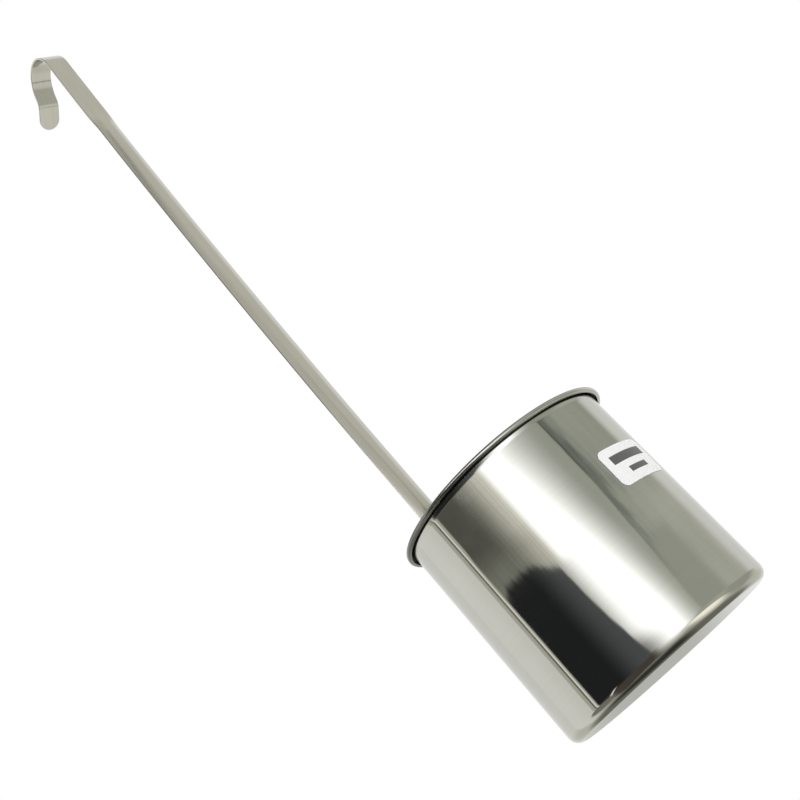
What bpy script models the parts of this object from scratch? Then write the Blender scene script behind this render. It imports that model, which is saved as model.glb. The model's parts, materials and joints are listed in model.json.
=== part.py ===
"""Stainless steel wine dipper.

A deep-drawn cup with a flat outward curl at its rim carries one formed strip handle. The strip's
lower end is a flat pad spot-welded to the outside of the cup, a joggle takes it round the
rim, the shaft is rolled into a shallow channel, and the upper end is a flat hanging hook.
A small paper label is stuck to the wall.

Units are metres and +Z is up. The origin is the centre of the flat bottom, and the handle
stands on the +Y side.
"""
import math

import bmesh
import bpy
from mathutils import Matrix, Vector

MM = 0.001

# Cup
CUP_RADIUS = 44.0 * MM              # outside of the wall
CUP_HEIGHT = 87.1 * MM              # bottom to the top of the rim
CUP_WALL = 0.6 * MM
BASE_FILLET = 4.3 * MM              # outside radius between wall and bottom
FLARE_HEIGHT = 3.2 * MM             # the wall starts to lean out this far below the curl's middle
FLARE_OUT = 0.3 * MM                # and leans out this far by the time it meets the curl
CURL_REACH = 1.5 * MM               # half width of the flattened curl, outward
CURL_RISE = 0.97 * MM               # and half its height
CURL_SQUARE = 3.0                   # 2 would be a plain oval, more is squarer
CURL_TURN = math.radians(270.0)     # 180 degrees would leave the lip pointing straight down
CUP_STEPS = 64

# Strip that the handle is formed from
STRIP_THICKNESS = 1.0 * MM
STRIP_WIDTH = 11.0 * MM             # measured along its face, flat or rolled
SHAFT_ROLL = math.radians(34.0)     # half angle of the shaft's shallow channel
FLAT_ROLL = math.radians(0.5)       # half angle left where the strip counts as flat

# Handle, from the pad to the tip of the hook
SEAT_GAP = 0.3 * MM                 # between pieces that touch
RIM_GAP = 0.6 * MM                  # between the rim and the strip that passes it
JOGGLE_RADIUS = 12.0 * MM
JOGGLE_DROP = 2.0 * MM              # from the curled lip down to the end of the joggle
SHAFT_LENGTH = 327.5 * MM
BOW_RADIUS = 4.0                    # gentle inward bow of the long shaft
ROLL_RISE = 1.9 * MM                # from the top of the rim to where the rolling begins
ROLL_RUN_LOW = 20.0 * MM            # over which the strip goes from flat to rolled
ROLL_RUN_HIGH = 36.0 * MM           # and back to flat, below the hook
FLAT_RUN_HIGH = 40.0 * MM           # flat stretch left just below the hook
HOOK_RADIUS = 14.7 * MM             # outside of the hook's bend
HOOK_TURN = math.radians(152.0)
HOOK_DROP = 2.4 * MM                # straight run after the bend
LIP_RADIUS = 4.5 * MM               # reverse bend that turns the tip out
LIP_TURN = math.radians(43.0)
LIP_LENGTH = 11.6 * MM              # flat tab, to the end of its round tip
BLUNT_END = 0.2 * MM                # half width left at the very tip of a round end

# Spot welds through the pad
WELD_RADIUS = 2.0 * MM
WELD_CLEARANCE = 0.3 * MM
WELD_DENT = 0.15 * MM               # the nugget lies this far below the pad's face
WELD_PITCH = 14.0 * MM
WELD_EDGE = 9.0 * MM                # from the last weld to the end of the pad
WELD_NAMES = ("spot_weld_lower", "spot_weld_middle", "spot_weld_upper")

# Paper label
LABEL_LENGTH = 26.8 * MM            # round the wall
LABEL_HEIGHT = 15.0 * MM
LABEL_CORNER = 2.5 * MM
LABEL_THICKNESS = 0.15 * MM
LABEL_AZIMUTH = math.radians(-77.0)
LABEL_DROP = 31.9 * MM              # from the top of the rim to its middle

# Facets
ARC_STEPS = 6                       # per quarter turn of a profile arc
FLARE_PIECES = 4                    # rings up the leaning top of the wall
ACROSS = 8                          # facets across the strip
PAD_PIECES = 4                      # stations along the pad, the shaft, the hook and its tab
SHAFT_PIECES = 36
HOOK_PIECES = 24
TAB_PIECES = 2
WELD_STEPS = 24

# Sizes that follow from the ones above
INNER_RADIUS = CUP_RADIUS - CUP_WALL
CURL_CENTRE_R = INNER_RADIUS + FLARE_OUT + CURL_REACH
CURL_CENTRE_Z = CUP_HEIGHT - CURL_RISE
RIM_RADIUS = CURL_CENTRE_R + CURL_REACH
LIP_BOTTOM = CURL_CENTRE_Z - CURL_RISE
PAD_FACE = CUP_RADIUS + SEAT_GAP
SHAFT_FACE = RIM_RADIUS + RIM_GAP
JOGGLE_TURN = math.acos(1.0 - (SHAFT_FACE - PAD_FACE) / (2.0 * JOGGLE_RADIUS))
JOGGLE_TOP = LIP_BOTTOM - JOGGLE_DROP
JOGGLE_BOTTOM = JOGGLE_TOP - 2.0 * JOGGLE_RADIUS * math.sin(JOGGLE_TURN)
PAD_LENGTH = 2.0 * WELD_EDGE + (len(WELD_NAMES) - 1) * WELD_PITCH
PAD_BOTTOM = JOGGLE_BOTTOM - PAD_LENGTH


def new_collection(name):
    """Add a collection under the scene."""
    collection = bpy.data.collections.new(name)
    bpy.context.scene.collection.children.link(collection)
    return collection


def metal_or_paper(name, colour, roughness, metallic):
    """Principled material with plain values."""
    material = bpy.data.materials.new(name)
    material.use_nodes = True
    shader = material.node_tree.nodes["Principled BSDF"]
    shader.inputs["Base Color"].default_value = (*colour, 1.0)
    shader.inputs["Roughness"].default_value = roughness
    shader.inputs["Metallic"].default_value = metallic
    return material


def add_mesh(name, mesh_data, collection, material=None):
    """Turn a bmesh into a named object."""
    mesh = bpy.data.meshes.new(name)
    mesh_data.to_mesh(mesh)
    mesh_data.free()
    item = bpy.data.objects.new(name, mesh)
    collection.objects.link(item)
    if material:
        mesh.materials.append(material)
    return item


def smooth(item, angle=30.0):
    """Shade round faces smooth and keep true corners sharp."""
    item.data.shade_smooth()
    item.data.set_sharp_from_angle(angle=math.radians(angle))


def make_cutter(item):
    """Keep a cutter out of the finished object."""
    item.hide_render = True
    item.display_type = "WIRE"


def boolean(item, cutter, operation):
    """Cut or trim an object by another."""
    modifier = item.modifiers.new(cutter.name, "BOOLEAN")
    modifier.operation = operation
    modifier.solver = "EXACT"
    modifier.object = cutter


def signed_power(value, power):
    """Power of a number's size, with the number's own sign."""
    return math.copysign(abs(value) ** power, value)


def arc(centre, reach, rise, start, end, square=2.0):
    """Points of a round, oval or squarish profile arc, angles measured from +X toward +Z."""
    centre_r, centre_z = centre
    power = 2.0 / square
    steps = max(2, math.ceil(ARC_STEPS * abs(end - start) / (math.pi / 2.0)))
    points = []
    for i in range(steps + 1):
        angle = start + (end - start) * i / steps
        out = reach * signed_power(math.cos(angle), power)
        up = rise * signed_power(math.sin(angle), power)
        points.append((centre_r + out, centre_z + up))
    return points


def flare(radius):
    """Points up the top of a wall that leans out more and more and then less, below the curl."""
    points = []
    for i in range(FLARE_PIECES):
        share = i / FLARE_PIECES
        lean = share * share * (3.0 - 2.0 * share)
        points.append((radius + FLARE_OUT * lean, CURL_CENTRE_Z - FLARE_HEIGHT * (1.0 - share)))
    return points


def cup_profile():
    """Sheet section of the cup: up the inside, over the curl and down the outside."""
    fillet = (CUP_RADIUS - BASE_FILLET, BASE_FILLET)
    inner_fillet = BASE_FILLET - CUP_WALL
    curl = (CURL_CENTRE_R, CURL_CENTRE_Z)
    lip = math.pi - CURL_TURN
    points = [(0.0, CUP_WALL)]
    points += arc(fillet, inner_fillet, inner_fillet, -math.pi / 2.0, 0.0)
    points += flare(INNER_RADIUS)
    points += arc(curl, CURL_REACH, CURL_RISE, math.pi, lip, CURL_SQUARE)
    points += arc(curl, CURL_REACH - CUP_WALL, CURL_RISE - CUP_WALL, lip, math.pi, CURL_SQUARE)
    points += reversed(flare(CUP_RADIUS))
    points += arc(fillet, BASE_FILLET, BASE_FILLET, 0.0, -math.pi / 2.0)
    points.append((0.0, 0.0))
    return points


def add_screw(item, angle, steps):
    """Turn a profile round the Z axis."""
    screw = item.modifiers.new("turn", "SCREW")
    screw.axis = "Z"
    screw.angle = angle
    screw.steps = steps
    screw.render_steps = steps
    screw.use_merge_vertices = True
    screw.merge_threshold = 0.01 * MM
    screw.use_smooth_shade = True


def profile_mesh(points):
    """Open line of edges in the X-Z plane."""
    line = bmesh.new()
    verts = [line.verts.new((r, 0.0, z)) for r, z in points]
    for a, b in zip(verts, verts[1:]):
        line.edges.new((a, b))
    return line


def build_cup(collection):
    """The drawn cup with its curled rim, one turned sheet."""
    steel = metal_or_paper("polished_steel", (0.70, 0.70, 0.67), 0.10, 1.0)
    cup = add_mesh("cup", profile_mesh(cup_profile()), collection, steel)
    add_screw(cup, 2.0 * math.pi, CUP_STEPS)
    return cup


class StripPath:
    """Front face of the strip in the Y-Z plane, drawn run by run from the pad's lower end.

    The heading is 0 straight up and grows toward +Y, away from the cup.
    """

    def __init__(self, y, z):
        self.heading = 0.0
        self.run = 0.0
        self.stations = [(0.0, y, z, 0.0)]

    def step(self, length, turn):
        """Go one chord of a bend, or a straight piece when the turn is zero."""
        _, y, z, _ = self.stations[-1]
        along = self.heading + turn / 2.0
        chord = length if abs(turn) < 1e-9 else length * math.sin(turn / 2.0) / (turn / 2.0)
        self.heading += turn
        self.run += length
        self.stations.append((self.run, y + chord * math.sin(along), z + chord * math.cos(along), self.heading))

    def straight(self, length, pieces):
        """Straight run in equal pieces."""
        for _ in range(pieces):
            self.step(length / pieces, 0.0)

    def bend(self, radius, turn, pieces):
        """Arc of the given radius, outward when the turn is positive."""
        for _ in range(pieces):
            self.step(radius * abs(turn) / pieces, turn / pieces)

    def round_end(self, radius, pieces, closing):
        """Run through a half-round end, with the shorter steps toward its tip."""
        marks = [1.0 - math.cos(0.5 * math.pi * i / pieces) for i in range(pieces + 1)]
        lengths = [b - a for a, b in zip(marks, marks[1:])]
        if closing:
            lengths.reverse()
        for length in lengths:
            self.step(radius * length, 0.0)


def handle_path():
    """Path of the whole handle, and the distances where its parts begin."""
    half = STRIP_WIDTH / 2.0
    path = StripPath(PAD_FACE, PAD_BOTTOM)
    path.round_end(half, ARC_STEPS, closing=False)
    path.straight(PAD_LENGTH - half, PAD_PIECES)
    path.bend(JOGGLE_RADIUS, JOGGLE_TURN, ARC_STEPS)
    path.bend(JOGGLE_RADIUS, -JOGGLE_TURN, ARC_STEPS)
    shaft_start = path.run
    path.bend(BOW_RADIUS, -SHAFT_LENGTH / BOW_RADIUS, SHAFT_PIECES)
    shaft_end = path.run
    path.bend(HOOK_RADIUS, HOOK_TURN, HOOK_PIECES)
    path.straight(HOOK_DROP, 1)
    path.bend(LIP_RADIUS, -LIP_TURN, ARC_STEPS)
    path.straight(LIP_LENGTH - half, TAB_PIECES)
    path.round_end(half, ARC_STEPS, closing=True)
    return path, shaft_start, shaft_end


def ease(value):
    """Smooth step from 0 to 1."""
    value = min(1.0, max(0.0, value))
    return value * value * (3.0 - 2.0 * value)


def end_width(distance):
    """Half width of a half-round end at a distance from its tip."""
    half = STRIP_WIDTH / 2.0
    inside = max(0.0, half - distance)
    return math.sqrt(max(half * half - inside * inside, 0.0))


def strip_section(half_width, roll):
    """Ring of the strip's section as pairs (across, depth): front face, then back face.

    The front is an arc as long as the flat face was wide, and it bulges toward the cup. The
    back corners of its edges stay level with the back of the flat strip.
    """
    radius = half_width / roll
    edge_depth = STRIP_THICKNESS * (1.0 - math.cos(roll))
    front = []
    back = []
    for i in range(ACROSS + 1):
        angle = roll * (2.0 * i / ACROSS - 1.0)
        across = radius * math.sin(angle)
        depth = edge_depth + radius * (math.cos(roll) - math.cos(angle))
        front.append((across, depth))
        back.append((across - STRIP_THICKNESS * math.sin(angle), depth + STRIP_THICKNESS * math.cos(angle)))
    return front + back[::-1]


def build_handle(collection):
    """Loft between unlike sections: flat pad, rolled channel, flat hook with a round tip."""
    path, shaft_start, shaft_end = handle_path()
    roll_start = shaft_start + CUP_HEIGHT - JOGGLE_TOP + ROLL_RISE
    loft = bmesh.new()
    rings = []
    for run, y, z, heading in path.stations:
        low = ease((run - roll_start) / ROLL_RUN_LOW)
        high = ease((shaft_end - FLAT_RUN_HIGH - run) / ROLL_RUN_HIGH)
        rolled = min(low, high)
        half = max(BLUNT_END, end_width(min(run, path.run - run)))
        roll = FLAT_ROLL + (SHAFT_ROLL - FLAT_ROLL) * rolled
        ring = []
        for across, depth in strip_section(half, roll):
            place = (across, y + depth * math.cos(heading), z - depth * math.sin(heading))
            ring.append(loft.verts.new(place))
        rings.append(ring)
    count = len(rings[0])
    for lower, upper in zip(rings, rings[1:]):
        for i in range(count):
            j = (i + 1) % count
            loft.faces.new((lower[i], lower[j], upper[j], upper[i]))
    for ring in (rings[0], rings[-1]):
        for i in range(ACROSS):
            loft.faces.new((ring[i], ring[i + 1], ring[count - 2 - i], ring[count - 1 - i]))
    bmesh.ops.recalc_face_normals(loft, faces=loft.faces)
    steel = metal_or_paper("satin_steel", (0.62, 0.61, 0.57), 0.32, 1.0)
    handle = add_mesh("handle", loft, collection, steel)
    smooth(handle)
    return handle


def rod_along_y(name, radius, y_start, y_end, z, collection, material=None):
    """Solid disc or pin whose axis lies along Y."""
    rod = bmesh.new()
    bmesh.ops.create_cone(rod, cap_ends=True, segments=WELD_STEPS, radius1=radius, radius2=radius,
                          depth=y_end - y_start)
    bmesh.ops.rotate(rod, verts=rod.verts, matrix=Matrix.Rotation(math.pi / 2.0, 3, "X"))
    item = add_mesh(name, rod, collection, material)
    item.location = (0.0, (y_start + y_end) / 2.0, z)
    smooth(item)
    return item


def build_welds(handle, parts, cutters):
    """Round weld nuggets, each in its own hole through the pad."""
    weld_steel = metal_or_paper("weld_steel", (0.48, 0.46, 0.43), 0.45, 1.0)
    pad_back = PAD_FACE + STRIP_THICKNESS
    welds = []
    for i, name in enumerate(WELD_NAMES):
        z = PAD_BOTTOM + WELD_EDGE + i * WELD_PITCH
        welds.append(rod_along_y(name, WELD_RADIUS, PAD_FACE, pad_back - WELD_DENT, z, parts, weld_steel))
        hole = rod_along_y(name + "_hole", WELD_RADIUS + WELD_CLEARANCE, CUP_RADIUS,
                           pad_back + SEAT_GAP, z, cutters)
        make_cutter(hole)
        boolean(handle, hole, "DIFFERENCE")
    return welds


def build_label(parts, cutters):
    """Thin paper label bent to the wall, with rounded corners."""
    paper = metal_or_paper("label_paper", (0.86, 0.86, 0.85), 0.55, 0.0)
    radius = CUP_RADIUS + SEAT_GAP
    middle = CUP_HEIGHT - LABEL_DROP
    spread = LABEL_LENGTH / radius
    edge = [(radius, LABEL_HEIGHT / 2.0), (radius, -LABEL_HEIGHT / 2.0)]
    label = add_mesh("label", profile_mesh(edge), parts, paper)
    add_screw(label, spread, 2 * ARC_STEPS)
    sheet = label.modifiers.new("sheet", "SOLIDIFY")
    sheet.thickness = LABEL_THICKNESS
    sheet.offset = 1.0
    label.location = (0.0, 0.0, middle)
    label.rotation_euler = (0.0, 0.0, LABEL_AZIMUTH - spread / 2.0)

    chord = 2.0 * radius * math.sin(spread / 2.0)
    block = bmesh.new()
    bmesh.ops.create_cube(block, size=1.0)
    bmesh.ops.scale(block, verts=block.verts, vec=Vector((radius, chord, LABEL_HEIGHT)))
    corners = [e for e in block.edges if abs(e.verts[0].co.x - e.verts[1].co.x) > 0.5 * radius]
    bmesh.ops.bevel(block, geom=corners, offset=LABEL_CORNER, segments=ARC_STEPS, profile=0.5, affect="EDGES")
    outline = add_mesh("label_outline", block, cutters)
    outline.location = (radius * math.cos(LABEL_AZIMUTH), radius * math.sin(LABEL_AZIMUTH), middle)
    outline.rotation_euler = (0.0, 0.0, LABEL_AZIMUTH)
    make_cutter(outline)
    boolean(label, outline, "INTERSECT")
    return label


def main():
    """Clear the scene and build the dipper."""
    for item in list(bpy.data.objects):
        bpy.data.objects.remove(item, do_unlink=True)
    parts = new_collection("wine_dipper")
    cutters = new_collection("cutters")
    build_cup(parts)
    handle = build_handle(parts)
    build_welds(handle, parts, cutters)
    build_label(parts, cutters)


main()
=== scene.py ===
# %% [markdown]
# # A stainless steel wine dipper
#
# The dipper is a deep cup on a long strip handle. It is bright polished on the cup and satin
# on the handle. This lesson loads the finished solids as a frame, lays finer surfaces over
# them, and then builds the finishes and a small studio, because polished metal shows
# nothing but what stands around it.

# %% Load the frame
import json
import math

import bpy
import numpy as np
from mathutils import Matrix, Vector

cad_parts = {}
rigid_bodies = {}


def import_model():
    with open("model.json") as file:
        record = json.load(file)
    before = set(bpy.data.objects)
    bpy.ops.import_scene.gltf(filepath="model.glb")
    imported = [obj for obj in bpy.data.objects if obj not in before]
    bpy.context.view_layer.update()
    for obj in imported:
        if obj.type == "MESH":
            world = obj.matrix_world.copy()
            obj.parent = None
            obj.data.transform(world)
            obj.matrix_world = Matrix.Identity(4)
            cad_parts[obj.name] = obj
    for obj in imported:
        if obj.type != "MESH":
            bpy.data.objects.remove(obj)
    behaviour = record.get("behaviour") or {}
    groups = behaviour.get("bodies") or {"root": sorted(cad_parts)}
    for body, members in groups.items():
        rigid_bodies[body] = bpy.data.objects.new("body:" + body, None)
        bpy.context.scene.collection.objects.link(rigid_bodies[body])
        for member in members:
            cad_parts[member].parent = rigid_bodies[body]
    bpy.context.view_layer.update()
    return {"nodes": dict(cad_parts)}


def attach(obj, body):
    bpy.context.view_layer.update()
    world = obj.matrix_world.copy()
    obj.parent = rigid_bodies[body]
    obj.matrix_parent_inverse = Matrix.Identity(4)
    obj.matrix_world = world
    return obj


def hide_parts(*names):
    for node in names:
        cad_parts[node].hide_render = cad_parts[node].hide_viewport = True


for item in list(bpy.data.objects):
    bpy.data.objects.remove(item, do_unlink=True)
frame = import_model()
print("nodes:", ", ".join(sorted(frame["nodes"])))

# %% [markdown]
# ## Sizes
#
# These repeat the sizes of the solids, so that the finer surfaces lie where the solids lie.
# Everything is in metres, +Z is up, and the handle stands on the +Y side.

# %% Sizes
MM = 0.001
CUP_RADIUS = 44.0 * MM
CUP_HEIGHT = 87.1 * MM
CUP_WALL = 0.6 * MM
BASE_FILLET = 4.3 * MM
FLARE_HEIGHT = 3.2 * MM
FLARE_OUT = 0.3 * MM
CURL_REACH = 1.49 * MM
CURL_RISE = 0.96 * MM
CURL_SQUARE = 3.0
CURL_TURN = math.radians(264.0)     # short of the solid's, because the cut lip is round here
RIM_CENTRE = CUP_RADIUS - CUP_WALL + FLARE_OUT + CURL_REACH
RIM_HEIGHT = CUP_HEIGHT - CURL_RISE - 0.01 * MM     # a hair low, to stay in the solids' box
SEAT_GAP = 0.3 * MM

STRIP = 1.0 * MM
STRIP_WIDTH = 11.0 * MM
PAD_FACE = CUP_RADIUS + SEAT_GAP
SHAFT_FACE = 47.3 * MM
PAD_LENGTH = 46.0 * MM
JOGGLE_RADIUS = 12.0 * MM
JOGGLE_TURN = math.acos(1.0 - (SHAFT_FACE - PAD_FACE) / (2.0 * JOGGLE_RADIUS))
JOGGLE_TOP = 83.16 * MM
PAD_BOTTOM = JOGGLE_TOP - 2.0 * JOGGLE_RADIUS * math.sin(JOGGLE_TURN) - PAD_LENGTH
WELD_HEIGHTS = PAD_BOTTOM + np.array([9.0, 23.0, 37.0]) * MM
print("pad from", round(PAD_BOTTOM / MM, 1), "mm, joggle ends at", round(JOGGLE_TOP / MM, 1), "mm")

# %% [markdown]
# ## From a grid of numbers to a mesh
#
# Every new piece here is a grid of points: rows run along the piece and columns run round
# it. Working the grid out as whole arrays is quick, and one function then turns any grid
# into a closed mesh. The two end rows are closed by fans to their middles, so that no
# piece has a hole.

# %% The grid function
def skin(name, grid, uv=None, closed=True):
    """Mesh whose faces join neighbouring rows and columns of a grid of points.

    When closed, the last column joins the first and a fan of triangles to the row's mean
    point closes the first and the last row. The UV grid has one more column than the points
    when closed, because its last column ends where the first would start again.
    """
    rows, columns = grid.shape[:2]
    index = np.arange(rows * columns).reshape(rows, columns)
    following = np.roll(index, -1, axis=1)
    if not closed:
        index, following = index[:, :-1], following[:, :-1]
    corners = [index[:-1], following[:-1], following[1:], index[1:]]
    faces = np.stack(corners, axis=-1).reshape(-1, 4).tolist()
    points = grid.reshape(-1, 3)
    if closed:
        points = np.concatenate([points, grid[:1].mean(axis=1), grid[-1:].mean(axis=1)])
        first = np.full(columns, rows * columns)
        faces += np.stack([following[0], index[0], first], axis=-1).tolist()
        faces += np.stack([index[-1], following[-1], first + 1], axis=-1).tolist()
    mesh = bpy.data.meshes.new(name)
    mesh.from_pydata(points, [], faces)
    if uv is not None:
        corners = [uv[:-1, :-1], uv[:-1, 1:], uv[1:, 1:], uv[1:, :-1]]
        cell = np.stack(corners, axis=2).reshape(-1, 2)
        if closed:
            low = np.stack([uv[0, 1:], uv[0, :-1], uv[0, :-1]], axis=1).reshape(-1, 2)
            high = np.stack([uv[-1, :-1], uv[-1, 1:], uv[-1, :-1]], axis=1).reshape(-1, 2)
            cell = np.concatenate([cell, low, high])
        mesh.uv_layers.new(name="lie").data.foreach_set("uv", cell.astype(np.float32).ravel())
    mesh.shade_smooth()
    piece = bpy.data.objects.new(name, mesh)
    bpy.context.scene.collection.objects.link(piece)
    print(name, "has", len(mesh.polygons), "faces")
    return piece


def turned(radii, heights, columns):
    """Surface of revolution: each profile point (radius, height) goes round the Z axis."""
    angle = np.linspace(0.0, 2.0 * np.pi, columns, endpoint=False)
    x = radii[:, None] * np.cos(angle)
    y = radii[:, None] * np.sin(angle)
    return np.stack([x, y, np.broadcast_to(heights[:, None], x.shape)], axis=-1)


def arc(centre, reach, rise, start, end, count, square=2.0):
    """Profile points on a circle, oval or squarish oval, angles from outward toward up.

    The cosine and the sine keep their signs and go to the power 2 over the squareness.
    """
    angle = np.linspace(start, end, count)
    unit = np.stack([np.cos(angle), np.sin(angle)], axis=-1)
    return centre + np.array([reach, rise]) * np.sign(unit) * np.abs(unit) ** (2.0 / square)


def ease(value):
    """Smooth step from 0 to 1: three times the square less twice the cube."""
    value = np.clip(value, 0.0, 1.0)
    return value * value * (3.0 - 2.0 * value)


# %% [markdown]
# ## The cup
#
# A press draws the cup from one round sheet and then curls its rim outward over a wire-thin
# hollow. Its section is one closed line: across the inside of the bottom, up the inner
# wall, over the curl, round the cut lip, back inside the curl, down the outer wall and
# under the bottom. Turning that line round the axis gives the whole sheet, so the gap
# under the curl is really there; its dark is also painted into the steel as shade. Curling
# also pulls the top of the wall out by a hair, and that is enough to bend the reflections
# just below the rim.

# %% Cup
CUP_COLUMNS = 288
HUB = 0.4 * MM          # the fans close the bottom inside this radius
WALL_SHORT = 0.05 * MM


def wall_points(radius):
    """Points up a straight wall whose top leans out smoothly to meet the curl.

    Both ends stop a little short of the arcs they join, so that the arcs' first facets don't
    tilt the shading of a tall wall facet.
    """
    start = RIM_HEIGHT - FLARE_HEIGHT
    straight = np.linspace(BASE_FILLET + WALL_SHORT, start, 24, endpoint=False)
    height = np.concatenate([straight, np.linspace(start, RIM_HEIGHT - WALL_SHORT, 24)])
    return np.stack([radius + FLARE_OUT * ease((height - start) / FLARE_HEIGHT), height], axis=-1)


def cup_section():
    """Straight runs and arcs of the sheet, in order from the inner bottom to the outer one."""
    quarter = math.pi / 2.0
    lip = math.pi - CURL_TURN
    fillet = (CUP_RADIUS - BASE_FILLET, BASE_FILLET)
    inner = BASE_FILLET - CUP_WALL
    curl = (RIM_CENTRE, RIM_HEIGHT)
    inner_floor = np.stack([np.linspace(HUB, fillet[0], 24), np.full(24, CUP_WALL)], axis=-1)
    inner_fillet = arc(fillet, inner, inner, -quarter, 0.0, 20)
    inner_wall = wall_points(CUP_RADIUS - CUP_WALL)
    over = arc(curl, CURL_REACH, CURL_RISE, math.pi, lip, 100, CURL_SQUARE)
    under = arc(curl, CURL_REACH - CUP_WALL, CURL_RISE - CUP_WALL, lip, math.pi, 44, CURL_SQUARE)
    sheet = over[-1] - under[0]
    half = np.hypot(*sheet) / 2.0
    turn = math.atan2(sheet[1], sheet[0])
    cut = arc((over[-1] + under[0]) / 2.0, half, half, turn, turn - math.pi, 9)
    outer_wall = wall_points(CUP_RADIUS)[::-1]
    outer_fillet = arc(fillet, BASE_FILLET, BASE_FILLET, 0.0, -quarter, 32)
    outer_floor = np.stack([np.linspace(fillet[0], HUB, 24), np.zeros(24)], axis=-1)
    runs = [inner_floor, inner_fillet[1:], inner_wall, over, cut[1:], under[1:]]
    runs += [outer_wall, outer_fillet, outer_floor[1:]]
    return np.concatenate(runs)


section = cup_section()[::-1]
cup = skin("cup_polished", turned(section[:, 0], section[:, 1], CUP_COLUMNS))

# %% [markdown]
# ## The handle
#
# One steel strip makes the whole handle: a flat pad on the cup, a small joggle round the
# rim, a long shaft rolled into an open channel, and a flat hanging hook with a round tip.
# Its heading changes at a steady rate in each stretch, so the path is the running sum of
# short steps along that heading. A rounded section then rides along the path, and its
# width and roll change as they do on the real strip.

# %% Path of the strip
SHAFT_LENGTH = 327.5 * MM
BOW_RADIUS = 4.0                    # four metres, so the bow is slight
HOOK_RADIUS = 14.64 * MM
HOOK_TURN = math.radians(152.0)
HOOK_END = 2.4 * MM
TAB_RADIUS = 4.5 * MM
TAB_TURN = math.radians(43.0)
TAB_LENGTH = 11.6 * MM
TIP_RADIUS = STRIP_WIDTH / 2.0


def strip_path():
    """Distances along the strip, with the place and heading of its front face there.

    The heading is a broken line over the distance: level on a straight stretch and sloping
    on a bend. Place is the sum of step times (sin, cos) of the heading at mid step. A stretch
    is its length, the angle it turns by and the number of steps in it.
    """
    joggle = JOGGLE_RADIUS * JOGGLE_TURN
    lengths, turns, counts = zip(
        (PAD_LENGTH, 0.0, 140),
        (joggle, JOGGLE_TURN, 20),
        (joggle, -JOGGLE_TURN, 20),
        (SHAFT_LENGTH, -SHAFT_LENGTH / BOW_RADIUS, 190),
        (HOOK_RADIUS * HOOK_TURN, HOOK_TURN, 56),
        (HOOK_END, 0.0, 4),
        (TAB_RADIUS * TAB_TURN, -TAB_TURN, 20),
        (TAB_LENGTH, 0.0, 44),
    )
    knots = np.concatenate([[0.0], np.cumsum(lengths)])
    headings = np.concatenate([[0.0], np.cumsum(turns)])
    steps = [np.linspace(a, b, n, endpoint=False) for a, b, n in zip(knots, knots[1:], counts)]
    run = np.concatenate(steps)
    between = run[(run > TIP_RADIUS) & (run < knots[-1] - TIP_RADIUS)]
    fine = TIP_RADIUS * (1.0 - np.cos(np.linspace(0.0, np.pi / 2.0, 24)))
    run = np.unique(np.concatenate([between, fine, knots[-1] - fine]))
    heading = np.interp(run, knots, headings)
    middle = (heading[1:] + heading[:-1]) / 2.0
    y = PAD_FACE + np.concatenate([[0.0], np.cumsum(np.diff(run) * np.sin(middle))])
    z = PAD_BOTTOM + np.concatenate([[0.0], np.cumsum(np.diff(run) * np.cos(middle))])
    return run, y, z, heading, knots


run, path_y, path_z, heading, knots = strip_path()
print("strip is", round(knots[-1] / MM, 1), "mm long")
print("hook top at", round(path_z.max() / MM, 1), "mm")

# %% Section of the strip
EDGE_ROUND = 0.22 * MM
TIP_HALF = 0.06 * MM                # half width of the two end rows
SHAFT_ROLL = math.radians(34.0)
FLAT_ROLL = math.radians(0.5)
CHANNEL_FOOT = CUP_HEIGHT - JOGGLE_TOP + 1.9 * MM
CHANNEL_RUN_IN = 20.0 * MM
CHANNEL_RUN_OUT = 16.0 * MM         # shorter than the solid's
HOOK_FLAT = 37.0 * MM
DENT_DEPTH = 0.30 * MM
DENT_RADIUS = 1.9 * MM
DENT_SLOPE = 1.2 * MM


def strip_ring():
    """Rounded rectangle as inner corner signs and outward unit steps, once round.

    A point is the corner sign times the inner half sizes plus the corner radius times the
    outward step. Columns: across sign, depth sign, across step, depth step.
    """
    flat = np.linspace(-1.0, 1.0, 37)
    front = np.stack([flat, -np.ones(37), np.zeros(37), -np.ones(37)], axis=-1)
    turn = np.linspace(-np.pi / 2.0, 0.0, 6)[1:]
    one = np.ones(5)
    corner = np.stack([one, -one, np.cos(turn), np.sin(turn)], axis=-1)
    side = np.concatenate([corner, corner[::-1] * [1.0, -1.0, 1.0, -1.0]])
    back = front[::-1] * [1.0, -1.0, 1.0, -1.0]
    return np.concatenate([front, side, back, side[::-1] * [-1.0, 1.0, -1.0, 1.0]])


def weld_dent(across, along):
    """Depth pressed into the back of the pad: a flat-bottomed crater round each weld."""
    distance = np.hypot(across[..., None], along[..., None] - (WELD_HEIGHTS - PAD_BOTTOM))
    return DENT_DEPTH * (1.0 - ease((distance - DENT_RADIUS) / DENT_SLOPE)).max(axis=-1)


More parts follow.
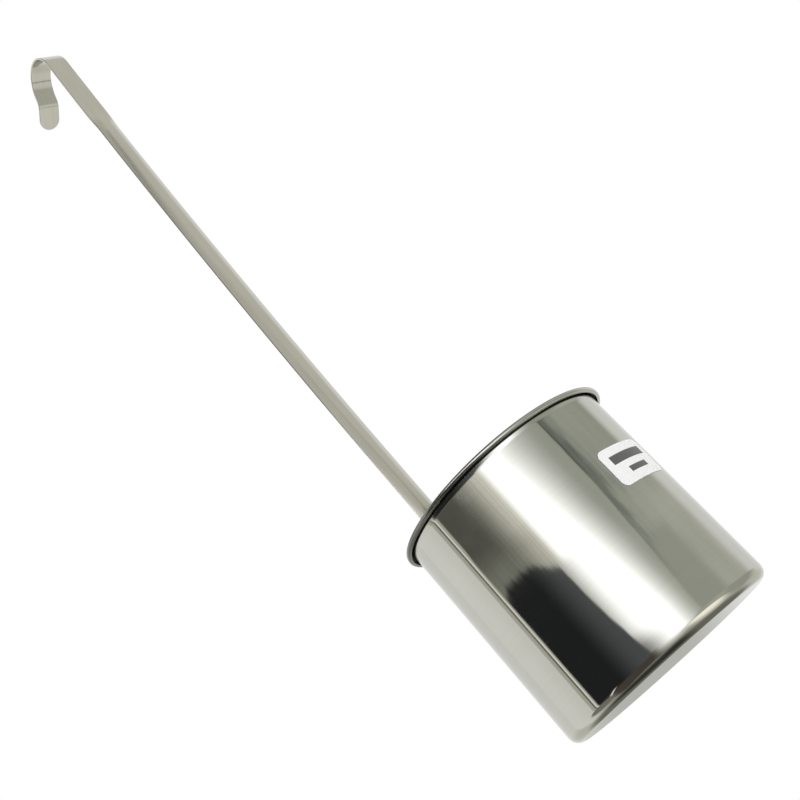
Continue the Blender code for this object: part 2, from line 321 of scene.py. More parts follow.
def strip_grid():
    """Points round the section at every station, with developed width and distance as UV.

    A roll angle bends half the width round a circle, so the circle's radius is half the width
    over the roll. A point across the strip lies at the angle across over radius, on a circle
    that is smaller by its depth in the strip.
    """
    shaft_start, shaft_end = knots[3], knots[4]
    low = ease((run - shaft_start - CHANNEL_FOOT) / CHANNEL_RUN_IN)
    high = ease((shaft_end - HOOK_FLAT - run) / CHANNEL_RUN_OUT)
    roll = (FLAT_ROLL + (SHAFT_ROLL - FLAT_ROLL) * np.minimum(low, high))[:, None]
    inside = np.clip(TIP_RADIUS - np.minimum(run, run[-1] - run), 0.0, None)
    half = np.sqrt(np.clip(TIP_RADIUS ** 2 - inside ** 2, 0.0, None))
    half = np.maximum(TIP_HALF, half)[:, None]
    radius = half / roll
    ring = strip_ring()
    corner = np.minimum(EDGE_ROUND, 0.4 * half)
    across = ring[:, 0] * (half - corner) + ring[:, 2] * corner
    along = np.broadcast_to(run[:, None], across.shape)
    depth = STRIP / 2.0 + ring[:, 1] * (STRIP / 2.0 - corner) + ring[:, 3] * corner
    depth = depth - (depth / STRIP) * weld_dent(across, along)
    angle = across / radius
    x = (radius - depth) * np.sin(angle)
    back = STRIP * (1.0 - np.cos(roll)) + radius * np.cos(roll) - (radius - depth) * np.cos(angle)
    y = path_y[:, None] + back * np.cos(heading[:, None])
    z = path_z[:, None] - back * np.sin(heading[:, None])
    lie = np.stack([across, along], axis=-1)
    return np.stack([x, y, z], axis=-1), np.concatenate([lie, lie[:, :1]], axis=1)


grid, lie = strip_grid()
handle = skin("handle_strip", grid, lie)

# %% [markdown]
# ## The spot welds
#
# Three spot welds hold the pad. A welding tip leaves a round, slightly dished mark, so each
# weld is a short turned body with a raised rim and a hollow face. It is worked out round
# the Z axis and its axes are then swapped, which lays it along +Y.

# %% Spot welds
WELD_RADIUS = 2.0 * MM
WELD_ROUND = 0.25 * MM
WELD_DISH = 0.10 * MM
WELD_CREST = PAD_FACE + STRIP - 0.12 * MM
WELD_HUB = 0.04 * MM


def weld_grid(height):
    """Turned nugget: a flat inner face, a straight side, a round rim and a dished outer face."""
    share = np.linspace(0.02, 1.0, 14)
    bend = np.linspace(0.1, np.pi / 2.0, 8)
    flat = WELD_RADIUS - WELD_ROUND
    dish = WELD_CREST - WELD_DISH * (1.0 - share ** 2)
    rim = WELD_CREST - WELD_ROUND * (1.0 - np.cos(bend))
    side = flat + WELD_ROUND * np.sin(bend)
    radii = np.concatenate([share * flat, side, [WELD_RADIUS, WELD_HUB]])
    outer = np.concatenate([dish, rim, [PAD_FACE, PAD_FACE]])
    nugget = turned(radii[::-1], outer[::-1], 48)
    return np.stack([nugget[..., 1], nugget[..., 2], nugget[..., 0] + height], axis=-1)


weld_names = ("spot_weld_lower", "spot_weld_middle", "spot_weld_upper")
welds = [skin(name + "_mark", weld_grid(height)) for name, height in zip(weld_names, WELD_HEIGHTS)]

# %% [markdown]
# ## The paper label
#
# The label is a thin sheet with round corners, stuck to the wall. Its outline is a rounded
# rectangle drawn once round; rings of shrinking copies fill it to the middle on both
# faces. Each point then wraps round the cup: distance along the label becomes angle.

# %% Label
LABEL_LENGTH = 26.8 * MM
LABEL_HEIGHT = 15.0 * MM
LABEL_CORNER = 2.5 * MM
LABEL_PAPER = 0.15 * MM
LABEL_ANGLE = math.radians(-77.0)
LABEL_MIDDLE = CUP_HEIGHT - 31.9 * MM
LABEL_FACE = CUP_RADIUS + 0.05 * MM     # glued on, so closer than the solid's clearance
OFF_AXIS = 0.001                        # turns the first direction off the axis, where sign is 0


def label_outline(count):
    """Rounded rectangle once round, with its points evenly spaced along the edge.

    A point is a corner's centre plus the corner radius times a direction. Joining the four
    corners gives the straight edges, and measuring along them spaces the points.
    """
    turn = np.linspace(0.0, 2.0 * np.pi, 240, endpoint=False) + OFF_AXIS
    unit = np.stack([np.cos(turn), np.sin(turn)])
    half = np.array([[LABEL_LENGTH], [LABEL_HEIGHT]]) / 2.0 - LABEL_CORNER
    edge = np.sign(unit) * half + LABEL_CORNER * unit
    edge = np.concatenate([edge, edge[:, :1]], axis=1)
    distance = np.concatenate([[0.0], np.cumsum(np.hypot(*np.diff(edge)))])
    even = np.linspace(0.0, distance[-1], count, endpoint=False)
    return np.stack([np.interp(even, distance, side) for side in edge], axis=-1)


def label_grid():
    """Rings that scale the outline, out over the glued face and back over the printed one."""
    share = np.concatenate([np.linspace(0.01, 0.98, 14), [0.993, 1.0]])
    rings = np.concatenate([share, share[::-1]])
    lift = np.repeat([0.0, 1.0], len(share))
    flat = rings[:, None, None] * label_outline(160)
    angle = LABEL_ANGLE + flat[..., 0] / LABEL_FACE
    radius = LABEL_FACE + LABEL_PAPER * lift[:, None]
    x, y = radius * np.cos(angle), radius * np.sin(angle)
    grid = np.stack([x, y, LABEL_MIDDLE + flat[..., 1]], axis=-1)
    return grid, np.concatenate([flat, flat[:, :1]], axis=1)


grid, lie = label_grid()
label = skin("label_paper", grid, lie)

# %% [markdown]
# ## Shader sums in plain Python
#
# A node tree is hard to read as code. Wrapping a socket in a small class lets sums such as
# `1 - mask` add their own Math nodes, and one method adds a node of any other type.

# %% The socket class
class Wire:
    """A shader socket whose operators add Math nodes to its tree."""

    def __init__(self, tree, socket=None):
        self.tree = tree
        self.socket = socket

    def node(self, kind, settings=None, inputs=None, output=0):
        """Add a node: settings first, then a value or a link for each named socket."""
        made = self.tree.nodes.new("ShaderNode" + kind)
        for key, value in (settings or {}).items():
            setattr(made, key, value)
        for key, value in (inputs or {}).items():
            if isinstance(value, Wire):
                self.tree.links.new(value.socket, made.inputs[key])
            else:
                made.inputs[key].default_value = value
        return Wire(self.tree, made.outputs[output])

    def sum(self, operation, *values):
        """Add one Math node."""
        return self.node("Math", {"operation": operation}, dict(enumerate(values)))

    def __add__(self, other):
        return self.sum("ADD", self, other)

    def __sub__(self, other):
        return self.sum("SUBTRACT", self, other)

    def __rsub__(self, other):
        return self.sum("SUBTRACT", other, self)

    def __mul__(self, other):
        return self.sum("MULTIPLY", self, other)

    def __truediv__(self, other):
        return self.sum("DIVIDE", self, other)

    def __pow__(self, other):
        return self.sum("POWER", self, other)

    __radd__ = __add__
    __rmul__ = __mul__

    def size(self):
        """The value without its sign."""
        return self.sum("ABSOLUTE", self)

    def larger(self, other):
        """The larger of the two values."""
        return self.sum("MAXIMUM", self, other)

    def smaller(self, other):
        """The smaller of the two values."""
        return self.sum("MINIMUM", self, other)

    def step(self, low, high):
        """0 below low, 1 above high, and a smooth slope between; high may be the smaller."""
        if low < high:
            return self.node("MapRange", {"interpolation_type": "SMOOTHSTEP"},
                             {"Value": self, "From Min": low, "From Max": high})
        return 1.0 - self.step(high, low)

    def mix(self, first, second):
        """Colour that goes from the first to the second as this wire goes from 0 to 1.

        Each of the two is a wire, or three numbers for red, green and blue. On a Mix node,
        inputs 6 and 7 and output 2 are the colours.
        """
        first, second = (c if isinstance(c, Wire) else (*c, 1.0) for c in (first, second))
        return self.node("Mix", {"data_type": "RGBA"}, {"Factor": self, 6: first, 7: second}, 2)

    def parts(self):
        """The X, Y and Z values of this vector."""
        made = self.node("SeparateXYZ", {}, {0: self})
        return [Wire(self.tree, socket) for socket in made.socket.node.outputs]

    def length(self):
        """The length of this vector."""
        return self.node("VectorMath", {"operation": "LENGTH"}, {0: self}, "Value")

    def noise(self, stretch, detail, roughness):
        """Noise over this vector, stretched by a scale for each axis."""
        place = self.node("VectorMath", {"operation": "MULTIPLY"}, {0: self, 1: stretch})
        return self.node("TexNoise", {}, {"Vector": place, "Scale": 1.0, "Detail": detail,
                                          "Roughness": roughness})


def new_material(name):
    """Node tree with an output, its Principled shader and a wire to start from."""
    material = bpy.data.materials.new(name)
    material.use_nodes = True
    tree = material.node_tree
    return material, tree.nodes["Principled BSDF"], Wire(tree)


def feed(shader, socket, wire):
    """Link a wire to one socket of a shader."""
    wire.tree.links.new(wire.socket, shader.inputs[socket])


def emboss(shader, height, depth):
    """Tilt the shading as if the surface rose by the depth, in metres, where height is 1."""
    bump = height.node("Bump", {}, {"Strength": 1.0, "Distance": depth, "Height": height})
    feed(shader, "Normal", bump)


def dress(material, *pieces):
    """Put a finished material on its pieces."""
    for piece in pieces:
        piece.data.materials.append(material)
    print(material.name, "has", len(material.node_tree.nodes), "nodes")


# %% [markdown]
# ## Polished steel
#
# The wall is buffed bright on a turning wheel, so its finest marks run round the cup. They
# are too shallow to see as lines, but they pull the edges of reflections into streaks.
# Noise that changes fast up the wall and slowly round it gives such marks. Smudges only
# change the roughness. The inside never meets the wheel and stays pale and matt. The hollow
# of the curl and the crease under the rim are painted nearly black as shade, the crown of the
# curl is painted dark as a dark reflection and the underside of its lip as shade, and the
# curl is darker toward the handle.

# %% Polished steel: marks
polished, shader, start = new_material("polished_steel")
place = start.node("TexCoord", output="Object")
x, y, z = place.parts()
radius = place.node("CombineXYZ", {}, {0: x, 1: y}).length()
buffed = place.node("CombineXYZ", {}, {0: x, 1: y, 2: z + radius})
lines = buffed.noise((14.0, 14.0, 900.0), 3.0, 0.65)
smudge = place.noise((38.0, 38.0, 26.0), 4.0, 0.6)
wave = place.noise((22.0, 22.0, 16.0), 1.0, 0.4)
emboss(shader, 0.25 * lines + 4.0 * wave, 1.2e-6)
print("marks take", len(start.tree.nodes), "nodes")

# %% Polished steel: inside and rim
SKIN_START, SKIN_END = 0.2 * MM, 0.4 * MM       # depths in the sheet where outside turns inside
unbuffed = radius.step(CUP_RADIUS - SKIN_START, CUP_RADIUS - SKIN_END)
unbuffed = unbuffed * z.step(0.24 * MM, 0.48 * MM)      # the round of the bottom is in it too
wide = (radius - (CUP_RADIUS - BASE_FILLET)).larger(0.0)
deep = (BASE_FILLET - z).larger(0.0)
from_round = place.node("CombineXYZ", {}, {0: wide, 1: deep}).length()
inside = from_round.step(BASE_FILLET - SKIN_START, BASE_FILLET - SKIN_END)
out = ((radius - RIM_CENTRE) / CURL_REACH).size()
lift = ((z - RIM_HEIGHT) / CURL_RISE).size()
oval = out ** CURL_SQUARE + lift ** CURL_SQUARE
curl = oval.step(1.6, 1.25)
hollow = oval.step(0.6, 0.4)
# Painted shade: the hollow inside the curl and the crease under the rim are coloured nearly black.
neck = (radius - CUP_RADIUS - 0.2 * MM).size().step(0.5 * MM, 0.35 * MM)
shade = hollow.larger(neck * z.step(84.65 * MM, 84.95 * MM))
flare = z.step(82.6 * MM, 84.4 * MM)
# Painted dark reflection on the crown of the curl, and painted shade on the underside of its lip
# on the -X side.
crown = (z - RIM_HEIGHT).step(0.12 * MM, 0.42 * MM)
under = (RIM_HEIGHT - z).step(0.2 * MM, 0.45 * MM) * x.step(-8.0 * MM, -26.0 * MM)
curl_painted_dark = (0.6 * crown).larger(0.8 * under)
print("with inside and rim", len(start.tree.nodes), "nodes")

# %% Polished steel: finish
dull = 0.12 * unbuffed + 0.1 * inside + 0.06 * curl + 0.3 * shade + 0.07 * flare
feed(shader, "Roughness", 0.035 + 0.03 * smudge.step(0.45, 0.75) + 0.015 * lines + dull)
tone = (0.5 * smudge + 0.5 * lines).step(0.3, 0.7)
bright = tone.mix((0.498, 0.496, 0.452), (0.522, 0.520, 0.476))
matt = tone.mix((0.62, 0.615, 0.58), (0.74, 0.735, 0.70))
# The curl's colour is darker toward the handle on +Y; its crown and lip underside are painted
# dark.
rolled = y.step(-20.0 * MM, 6.0 * MM).mix((0.48, 0.48, 0.445), (0.18, 0.178, 0.162))
rolled = curl_painted_dark.mix(rolled, (0.10, 0.10, 0.09))
colour = curl.mix(inside.mix(bright, matt), rolled)
# The hollow and the crease get their painted shade here, nearly black.
feed(shader, "Base Color", shade.mix(colour, (0.03, 0.03, 0.027)))
feed(shader, "Metallic", 1.0 - 0.18 * inside)
shader.inputs["Specular Tint"].default_value = (0.88, 0.88, 0.87, 1.0)
dress(polished, cup)

# %% [markdown]
# ## Satin steel
#
# The strip keeps the satin of the rolling mill: short scratches that all run along it. The
# strip's own UV map gives the distance across and along, in metres, so the scratches
# follow every bend. Round each weld the heat has left a straw-coloured ring.

# %% Satin steel
HEAT_RADIUS = 4.6 * MM
satin, shader, start = new_material("satin_steel")
lie = start.node("UVMap", {"uv_map": "lie"})
brush = lie.noise((3200.0, 45.0, 1.0), 3.0, 0.6)
cloud = lie.noise((260.0, 28.0, 1.0), 3.0, 0.5)
place = start.node("TexCoord", output="Object")
halo = 0.0
for weld_height in WELD_HEIGHTS:
    centre = (0.0, PAD_FACE + STRIP, float(weld_height))
    away = place.node("VectorMath", {"operation": "DISTANCE"}, {0: place, 1: centre}, "Value")
    halo = away.step(HEAT_RADIUS, WELD_RADIUS) + halo
feed(shader, "Roughness", 0.09 + 0.05 * brush + 0.03 * cloud)
grain = (0.6 * brush + 0.4 * cloud).step(0.3, 0.7)
steel = grain.mix((0.500, 0.494, 0.446), (0.560, 0.554, 0.506))
feed(shader, "Base Color", (0.75 * halo).mix(steel, (0.36, 0.27, 0.16)))
shader.inputs["Metallic"].default_value = 1.0
emboss(shader, brush, 2.5e-6)
dress(satin, handle)

# %% [markdown]
# ## Weld steel
#
# The welding tip leaves a dull grey face with a bluish rim where the steel was hottest.
# Mottled noise keeps the three marks from looking stamped out of one mould.

# %% Weld steel
weld_steel, shader, start = new_material("weld_steel")
place = start.node("TexCoord", output="Object")
mottle = place.noise((900.0, 900.0, 900.0), 4.0, 0.6)
rim = place.parts()[1].step(WELD_CREST - 0.07 * MM, WELD_CREST - 0.01 * MM)
face = mottle.step(0.35, 0.65).mix((0.34, 0.325, 0.30), (0.46, 0.445, 0.41))
feed(shader, "Base Color", (0.7 * rim).mix(face, (0.25, 0.27, 0.33)))
feed(shader, "Roughness", 0.36 + 0.2 * mottle)
shader.inputs["Metallic"].default_value = 1.0
emboss(shader, mottle, 2.0e-5)
dress(weld_steel, *welds)

# %% [markdown]
# ## Label paper
#
# Coated white paper with two plain printed bars. The UV map holds the distance from the
# label's middle in metres, so a bar is a product of four soft steps.

# %% Label paper
INK_EDGE = 0.12 * MM


def band(value, low, high):
    """1 between two distances in millimetres, 0 outside them, with soft edges."""
    low, high = low * MM, high * MM
    past_low = value.step(low - INK_EDGE, low + INK_EDGE)
    return past_low * value.step(high + INK_EDGE, high - INK_EDGE)


paper, shader, start = new_material("label_paper")
lie = start.node("UVMap", {"uv_map": "lie"})
along, up, _ = lie.parts()
upper_bar = band(along, -10.0, 10.0) * band(up, 0.8, 4.2)
lower_bar = band(along, -5.5, 5.5) * band(up, -4.0, -1.8)
ink = upper_bar + lower_bar
fibre = lie.noise((900.0, 900.0, 1.0), 4.0, 0.6)
sheet = fibre.step(0.3, 0.7).mix((0.775, 0.78, 0.78), (0.82, 0.82, 0.815))
feed(shader, "Base Color", (0.93 * ink).mix(sheet, (0.03, 0.03, 0.032)))
feed(shader, "Roughness", 0.46 + 0.12 * fibre - 0.08 * ink)
emboss(shader, fibre, 6.0e-6)
dress(paper, label)

# %% [markdown]
# ## Join the pieces to the frame
#
# Nothing moves on a dipper, so every piece rides on the one body. Each piece hides the
# solid that it stands for.

# %% Ride and replace
main_pieces = [(cup, "cup", "cup"), (handle, "handle", "handle"), (label, "label", "label")]
for piece, node, slot in main_pieces:
    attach(piece, "root")
    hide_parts(node)
for weld, node in zip(welds, weld_names):
    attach(weld, "root")
    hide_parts(node)
print("pieces joined:", len(main_pieces) + len(welds))

# %% [markdown]
# ## The studio
#
# Polished metal is a mirror, so its look is the look of the room. The room is white all
# round, which gives the light sides of the cup. One curved screen stands on the camera's
# side and shows only in reflections: a black flag, a bright softbox and a grey wall. The
# floor is pale and keeps the shadow; from below it is clear, because the camera looks up
# from just under the dipper's foot.

# %% Floor
FLOOR_RADIUS = 1.6
FLOOR_DROP = 0.2 * MM       # just clear of the cup's bottom


def disc(radius, height):
    """Flat disc: rows are circles that grow from a pinhole to the radius."""
    share = np.concatenate([[0.00125], np.linspace(0.03125, 1.0, 24)])[:, None]
    angle = np.linspace(2.0 * np.pi, 0.0, 97)
    x = radius * share * np.cos(angle)
    y = radius * share * np.sin(angle)
    return np.stack([x, y, np.full(x.shape, height)], axis=-1)


def show(surface):
    """Send a shader to its material's output, in place of the Principled shader."""
    output = surface.tree.nodes["Material Output"]
    surface.tree.links.new(surface.socket, output.inputs["Surface"])


floor = skin("floor", disc(FLOOR_RADIUS, -FLOOR_DROP), closed=False)
pale, shader, start = new_material("pale_floor")
shader.inputs["Base Color"].default_value = (0.90, 0.90, 0.895, 1.0)
shader.inputs["Roughness"].default_value = 0.9
solid = Wire(start.tree, shader.outputs[0])
clear = start.node("BsdfTransparent")
below = start.node("NewGeometry", output="Backfacing")
far = start.node("TexCoord", output="Object").length().step(0.7, 1.5)
hidden = below + far - below * far
show(start.node("MixShader", {}, {0: hidden, 1: solid, 2: clear}))
dress(pale, floor)
floor.visible_glossy = False

# %% [markdown]
# ## What the steel mirrors
#
# A studio could be painted on the steel itself, but then it would slide over the cup in
# another view. So it is built: two big shells and a small mat that only reflections show.
# Each shell is part of a sphere whose UV map holds directions, a bearing from the camera's
# side and a rise above the level, so a lamp or a flag is a sum of soft steps in degrees.

# %% Shells that show only in reflections
CAMERA_SIDE = math.radians(-131.3)
STUDIO_STRENGTH = 1.09      # the studio shines a little brighter than its colours are written
UV_DEGREES = 100.0          # degrees to one unit of a shell's UV map


def reflected_only(piece):
    """Stage a piece that shows in reflections and nowhere else."""
    piece.visible_camera = False
    piece.visible_diffuse = False
    piece.visible_shadow = False
    piece.visible_transmission = False


def shell(name, radius, bearings, rises, columns, rows):
    """Part of a sphere: columns are bearings from the camera's side, rows are rises.

    A point is the radius times (cos rise cos bearing, cos rise sin bearing, sin rise) from
    the middle of the cup. The UV map holds both angles. Returned are the map, the bearing
    and the rise in degrees, to paint with.
    """
    turns = np.linspace(*bearings, columns)
    heights = np.linspace(*rises, rows)[:, None]
    across, up = CAMERA_SIDE + np.radians(turns), np.radians(heights)
    x = radius * np.cos(up) * np.cos(across)
    y = radius * np.cos(up) * np.sin(across)
    z = np.broadcast_to(radius * np.sin(up), x.shape) + CUP_HEIGHT / 2.0
    lie = np.stack(np.broadcast_arrays(turns, heights), axis=-1) / UV_DEGREES
    piece = skin(name, np.stack([x, y, z], axis=-1), lie, closed=False)
    reflected_only(piece)
    cloth, _, start = new_material(name + "_cloth")
    piece.data.materials.append(cloth)
    lie = start.node("UVMap", {"uv_map": "lie"})
    bearing, rise, _ = lie.parts()
    return lie, UV_DEGREES * bearing, UV_DEGREES * rise


def lit(colour):
    """A shader that shines with the colour."""
    return colour.node("Emission", {}, {"Color": colour, "Strength": STUDIO_STRENGTH})


def tally(part, wire):
    """Print how far a studio picture has come."""
    print(part, "painted,", len(wire.tree.nodes), "nodes so far")


# %% [markdown]
# ## The table and the mat
#
# The bottom of the cup mirrors the table. Close under the cup its shade is dark, and that
# needs a real place and not only a direction, so a small dark mat lies there as painted
# shade, with a paler part, a bright card and a soft painted shadow.

# %% Table
def with_stand(picture, bearing, rise):
    """The picture with the dark foot of a stand, low and far to the right."""
    foot = (bearing - 110.0).size().step(5.5, 2.5) * rise.step(-44.0, -50.0)
    return foot.mix(picture, (0.33, 0.33, 0.30))


lie, bearing, rise = shell("studio_table", 5.0, (-180.0, 180.0), (-90.0, 0.6), 120, 60)
table = rise.step(0.0, -20.0).mix((0.92, 0.92, 0.91), (0.74, 0.74, 0.68))
table = rise.step(-42.0, -56.0).mix(table, (0.84, 0.84, 0.785))
table = with_stand(table, bearing, rise)
rear = bearing.size().step(170.0, 178.0) * rise.step(-12.0, -5.0)
show(lit(rear.mix(table, (0.47, 0.47, 0.44))))
tally("table", lie)

# %% Mat under the cup
MAT_RADIUS = 200.0 * MM
MAT_DROP = 30.2 * MM
mat = skin("studio_mat", disc(MAT_RADIUS, -MAT_DROP), closed=False)
reflected_only(mat)
dark, _, start = new_material("studio_mat_cloth")
x, y, _ = start.node("TexCoord", output="Object").parts()
x, y = x / MM, y / MM
along = math.cos(CAMERA_SIDE) * x + math.sin(CAMERA_SIDE) * y
across = math.cos(CAMERA_SIDE) * y - math.sin(CAMERA_SIDE) * x


def spot(centre, size, outer, inner):
    """Soft oval on the mat, in millimetres toward the camera and to its right."""
    out = (along - centre[0]) / size[0]
    side = (across - centre[1]) / size[1]
    return (out * out + side * side).step(outer, inner)


edge = spot((0.0, 0.0), (68.0, 66.0), 1.2, 0.45)
card = spot((76.0, 66.0), (42.0, 34.0), 1.9, 0.2)
shadow = spot((45.0, -115.0), (30.0, 62.0), 1.3, 0.6)
# Painted shade: the mat's dark felt stands for the shade close under the cup and is paler in one
# part.
paler_part = along.step(30.0, 10.0).larger(across.step(8.0, 24.0))
felt = paler_part.mix((0.05, 0.05, 0.043), (0.22, 0.22, 0.195))
felt = shadow.mix(felt, (0.25, 0.25, 0.22))
felt = card.mix(felt, (1.5, 1.47, 1.33))
shown = edge.larger(card).larger(shadow)
show(start.node("MixShader", {}, {0: shown, 1: start.node("BsdfTransparent"), 2: lit(felt)}))
dress(dark, mat)

# %% [markdown]
# ## The screen
#
# The wall of the cup mirrors the screen, which is painted from back to front: a grey wall
# with a dark seam, the softbox that fades into it, a black flag with brown shade above it,
# the pale margins at both ends, the ceiling that only the rim and the handle see, and the
# low part that the round of the bottom sees. The seam is the shadow where two sheets of the
# wall meet, and it is ragged, because the steel is not quite flat.

# %% Grey wall
lie, bearing, rise = shell("studio_screen", 4.0, (-125.0, 134.0), (-60.0, 88.0), 200, 110)
cloud = lie.noise((5.0, 14.0, 1.0), 3.0, 0.55)
wall = bearing.step(60.0, 120.0).mix((0.55, 0.565, 0.51), (0.66, 0.67, 0.615))
wall = rise.step(7.5, 11.5).mix(wall, (0.493, 0.51, 0.462))
wall = (0.2 * cloud.step(0.35, 0.7)).mix(wall, (0.24, 0.26, 0.22))
tally("grey wall", lie)

# %% Seam of the wall
patch = lie.noise((11.0, 32.0, 1.0), 4.0, 0.6)
past = bearing - 48.5 - 1.25 * (rise.smaller(11.5) - 4.0) - 5.0 * (patch - 0.5)
beyond = past.step(-0.9, 1.1)
shaded = beyond * bearing.step(88.0, 76.0) * rise.step(7.8, 7.0)
wall = shaded.mix(wall, (0.46, 0.478, 0.428))
width = 6.0 + 7.0 * rise.step(8.5, 11.0) + 26.0 * (patch - 0.5)
seam = beyond * (past / width).step(1.5, 0.3) * (0.5 + 0.9 * patch)
wall = (0.92 * seam * rise.step(3.5, 11.5)).mix(wall, (0.185, 0.208, 0.185))
slit = (past - 1.4).size().step(1.5, 0.3) * rise.step(12.0, 12.6)
wall = (0.6 * slit).mix(wall, (0.10, 0.11, 0.10))
tally("seam", lie)

# %% Softbox
LAMP_WHITE = (2.0, 2.0, 2.09)
height = rise.larger(4.0) - 4.0
fall = ((52.0 + 0.35 * height - bearing) / (25.0 + 1.9 * height)).larger(0.0)
lamp = rise.step(-2.0, -50.0).mix(LAMP_WHITE, (0.75, 0.74, 0.68))
front = (bearing - 14.0 * rise.step(4.2, 2.8)).step(-27.0, 3.0)
lamp = front.mix((0.26, 0.255, 0.23), lamp)
picture = (fall * fall).mix(wall, lamp)
tally("softbox", lie)

# %% Shade over the flag
streak = lie.noise((5.0, 160.0, 1.0), 3.0, 0.6).step(0.35, 0.65)
# Painted shade above the flag: darker higher up, with faint streaks.
shade_over_flag = rise.step(10.6, 13.2).mix((0.315, 0.325, 0.285), (0.12, 0.117, 0.102))
shade_over_flag = (0.3 * streak).mix(shade_over_flag, (0.20, 0.198, 0.173))
ramp = (bearing - 5.0 * rise.step(13.0, 11.5)).step(-62.0, -12.0)
brown = (ramp * ramp).mix(shade_over_flag, (1.05, 1.04, 0.95))
grain = lie.noise((70.0, 7.0, 1.0), 3.0, 0.6).step(0.42, 0.72)
brown = (0.28 * grain).mix(brown, (0.11, 0.11, 0.095))
brown = bearing.step(-17.5, -8.0).mix(brown, LAMP_WHITE)
picture = (rise.step(9.0, 10.0) * bearing.step(5.0, 3.0)).mix(picture, brown)
tally("shade", lie)

# %% Flag
ragged = lie.noise((26.0, 90.0, 1.0), 4.0, 0.65) - 0.5
above = rise + 1.15 * bearing.step(-40.0, -17.0) + 0.5 * bearing.step(-70.0, -79.0)
above = (above + 0.7 * ragged).step(10.3, 10.72)
flag = bearing.step(-48.0, -18.0).mix((0.021, 0.022, 0.024), (0.10, 0.111, 0.117))
flag = rise.step(-2.0, -20.0).mix(flag, (0.09, 0.074, 0.066))
below = (9.0 - rise).larger(0.0)
slant = bearing + 18.0 + 5.0 * ragged - (0.2 * below * below).smaller(11.0)
slant = slant / (1.2 + 5.0 * rise.step(2.6, 0.0))
picture = (slant.step(1.0, -1.0) * (1.0 - above)).mix(picture, flag)
tally("flag", lie)

# %% Left margin
side = (bearing - 1.5 * rise.step(12.5, 13.8)).step(-78.0, -79.6)
margin = bearing.step(-112.0, -88.5).mix((0.98, 0.98, 0.97), (0.90, 0.90, 0.885))
margin = bearing.step(-88.8, -87.6).mix(margin, (0.575, 0.58, 0.525))
margin = (bearing + 83.2).size().step(1.4, 0.5).mix(margin, (0.17, 0.17, 0.15))
margin = (bearing + 81.2).size().step(1.2, 0.4).mix(margin, (1.1, 1.1, 1.03))
picture = side.mix(picture, margin)
tally("left margin", lie)

# %% Ceiling
ceiling = bearing.step(30.0, 66.0).mix((0.62, 0.614, 0.558), (0.72, 0.71, 0.645))
ceiling = (bearing.step(60.0, 16.0) * rise.step(30.0, 26.0)).mix(ceiling, (0.68, 0.67, 0.61))
corner = (bearing - 18.0 - 11.0 * (rise - 36.0)).size().step(11.0, 1.0)
corner = corner * rise.step(35.0, 36.0) * bearing.step(60.0, 46.0)
ceiling = corner.mix(ceiling, (0.04, 0.039, 0.035))
line = (bearing + 2.4 * rise - 110.0).size().step(9.0, 1.0) * rise.step(27.0, 25.0)
ceiling = (0.5 * line).mix(ceiling, (0.45, 0.45, 0.40))
dim = bearing.step(16.0, 6.0).larger(bearing.step(75.0, 45.0) * rise.step(44.0, 54.0))
ceiling = (dim * bearing.step(-79.0, -75.0)).mix(ceiling, (0.12, 0.118, 0.105))
glare = bearing.step(-52.0, -42.0) * bearing.step(10.0, 4.0) * rise.step(23.0, 20.0)
ceiling = glare.mix(ceiling, LAMP_WHITE)
upper_left = bearing.step(-79.0, -84.0) * rise.step(32.0, 38.0)
ceiling = upper_left.mix(ceiling, (1.0, 1.0, 0.98))
picture = rise.step(16.4, 16.8).mix(picture, ceiling)
tally("ceiling", lie)

# %% Right margin and low part
end = bearing + 14.0 * rise.step(15.0, 18.0)
picture = end.step(114.0, 126.0).mix(picture, (0.87, 0.87, 0.85))
picture = end.step(122.0, 134.0).mix(picture, (0.95, 0.95, 0.94))
low = bearing.step(72.0, 86.0).mix((0.57, 0.57, 0.515), (0.47, 0.47, 0.425))
low = bearing.step(118.0, 134.0).mix(low, (0.74, 0.74, 0.68))
low = rise.step(-34.0, -46.0).mix(low, (0.80, 0.80, 0.745))
picture = (bearing.step(34.0, 60.0) * rise.step(1.0, -6.0)).mix(picture, low)
glint = (bearing + 51.6 - 0.61 * rise).size().step(3.6, 1.2) * rise.step(-1.0, -9.0)
picture = glint.mix(picture, (0.95, 0.93, 0.85))
lowest = rise.step(-48.0, -57.0) * bearing.step(40.0, 60.0)
picture = lowest.mix(picture, (0.84, 0.84, 0.785))
show(lit(with_stand(picture, bearing, rise)))
tally("right margin and low part", lie)

# %% [markdown]
# ## World and lamps
#
# The world is white where the camera or a reflection meets it and softer for other light.
# Two large lamps give the label and the floor their light and stay out of reflections.

# %% World and lamps
LAMP_TARGET = Vector((0.0, 0.0, 0.15))
WHITE = (1.0, 1.0, 1.0, 1.0)


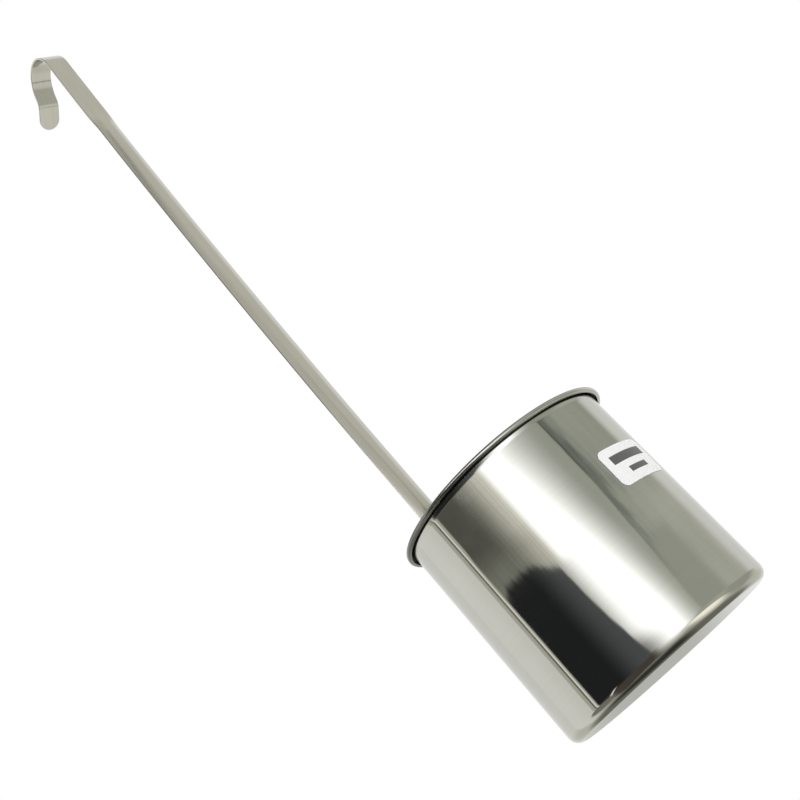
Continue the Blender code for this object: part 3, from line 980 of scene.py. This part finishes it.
def area_lamp(name, place, size, power):
    """Square soft lamp that looks at the middle of the dipper and stays out of reflections."""
    data = bpy.data.lights.new(name, "AREA")
    data.size = size
    data.energy = power
    lamp = bpy.data.objects.new(name, data)
    bpy.context.scene.collection.objects.link(lamp)
    lamp.location = place
    lamp.rotation_euler = (LAMP_TARGET - Vector(place)).to_track_quat("-Z", "Y").to_euler()
    lamp.visible_glossy = False


area_lamp("key_lamp", (-0.5, -1.6, 1.5), 1.4, 26.0)
area_lamp("fill_lamp", (1.5, 0.6, 1.4), 1.6, 12.0)

world = bpy.data.worlds.new("studio_room")
bpy.context.scene.world = world
world.use_nodes = True
start = Wire(world.node_tree)
path = start.node("LightPath")
rays = {socket.name: Wire(start.tree, socket) for socket in path.socket.node.outputs}
seen = rays["Is Camera Ray"].larger(rays["Is Glossy Ray"]).larger(rays["Is Transmission Ray"])
white = start.node("Background", {}, {"Color": WHITE, "Strength": 1.0})
fill = start.node("Background", {}, {"Color": WHITE, "Strength": 0.6})
room = start.node("MixShader", {}, {0: seen, 1: fill, 2: white})
start.tree.links.new(room.socket, start.tree.nodes["World Output"].inputs["Surface"])
bpy.context.scene.view_settings.view_transform = "Standard"
print("studio ready")

# %% [markdown]
# ## The camera
#
# The camera stands low on the cup's side and looks up along the handle, rolled so that the
# dipper runs from corner to corner. Its three axes are written as directions, and the
# lens is the one that gives the cup's own perspective.

# %% Camera
CAMERA_PLACE = (-0.25794, -0.27983, -0.01442)
CAMERA_FORWARD = (0.6129, 0.6971, 0.3720)
CAMERA_UP = (0.3235, -0.6509, 0.6867)


def look(place, forward, up):
    """Camera matrix whose columns are right, up and backward, followed by the place."""
    forward = np.array(forward) / np.linalg.norm(forward)
    right = np.cross(forward, up)
    right /= np.linalg.norm(right)
    turn = np.stack([right, np.cross(right, forward), -forward, place], axis=1)
    return Matrix(turn.tolist() + [[0.0, 0.0, 0.0, 1.0]])


lens = bpy.data.cameras.new("camera")
lens.lens = 47.47
lens.clip_start = 0.01
camera = bpy.data.objects.new("camera", lens)
bpy.context.scene.collection.objects.link(camera)
camera.matrix_world = look(CAMERA_PLACE, CAMERA_FORWARD, CAMERA_UP)
bpy.context.scene.camera = camera
print("camera at", [round(v, 3) for v in camera.matrix_world.translation])
